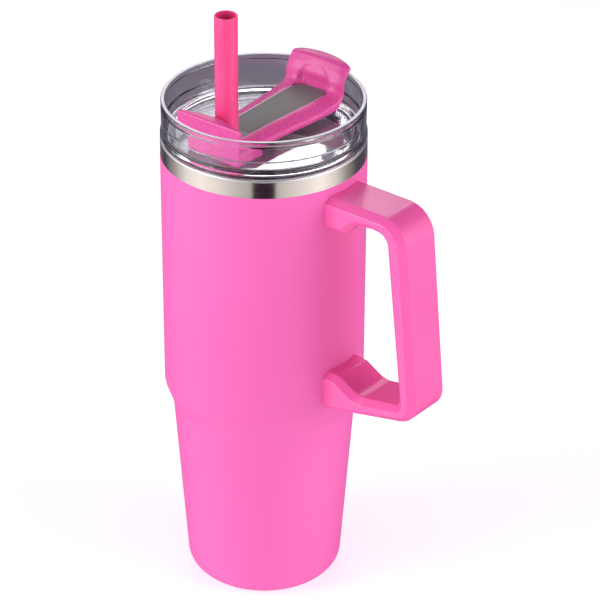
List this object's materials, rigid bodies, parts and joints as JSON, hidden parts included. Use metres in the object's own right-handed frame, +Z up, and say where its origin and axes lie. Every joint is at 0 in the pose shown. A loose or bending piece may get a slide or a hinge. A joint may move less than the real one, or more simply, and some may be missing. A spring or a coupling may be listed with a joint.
{
  "type": "insulated tumbler",
  "caption": "Insulated steel tumbler with a stepped coated body, loop handle, clear press-in lid with a flip lever, and a straw.",
  "frame": {"origin": "centre of the foot ring's underside, on the cup's axis, where the tumbler stands on a table", "axes": "+Z up along the cup's axis; +X towards the handle; +Y towards the lever's thumb tab; the straw stands on the -Y side"},
  "size_m": [0.1544, 0.101, 0.3186],
  "materials": {
    "steel": "satin, fine turned grain",
    "coat": "fine powder coat, low sheen",
    "seal_bead": "dull solder bead",
    "getter": "dull sintered pellet",
    "handle": "satin moulded plastic",
    "fasteners": "plain stainless",
    "clear_lid": "polished clear copolyester",
    "gasket": "smooth silicone",
    "pink_plastic": "satin gloss moulding",
    "grey_plastic": "satin moulding",
    "grey_rubber": "smooth silicone",
    "white_rubber": "milky silicone",
    "straw": "slightly see-through, glossy"
  },
  "bodies": {
    "cup": {"outer_shell": "steel", "powder_coat": "coat", "inner_liner": "steel", "base_plate": "steel", "vacuum_seal": "seal_bead", "getter": "getter", "handle": "handle", "handle_mounts": "steel", "handle_screws": "fasteners", "screw_plugs": "handle"},
    "lid": {"lid_body": "clear_lid", "lid_gasket": "gasket", "straw_housing": "pink_plastic", "straw_seal": "grey_rubber", "hinge_pin": "fasteners"},
    "lever": {"flip_lever": "pink_plastic", "lever_inlay": "grey_plastic", "spout_seal": "white_rubber", "vent_seal": "white_rubber"},
    "straw": {"straw": "straw"}
  },
  "joints": [
    {"name": "lid_lift", "type": "slide", "parent": "cup", "child": "lid", "axis": [0, 0, 1], "range_m": [0, 0.24]},
    {"name": "lever_hinge", "type": "hinge", "parent": "lid", "child": "lever", "pos_m": [0, -0.0158, 0.2521], "axis": [1, 0, 0], "range_deg": [0, 60]},
    {"name": "straw_slide", "type": "slide", "parent": "lid", "child": "straw", "axis": [0, 0, 1], "range_m": [0, 0.25]}
  ]
}
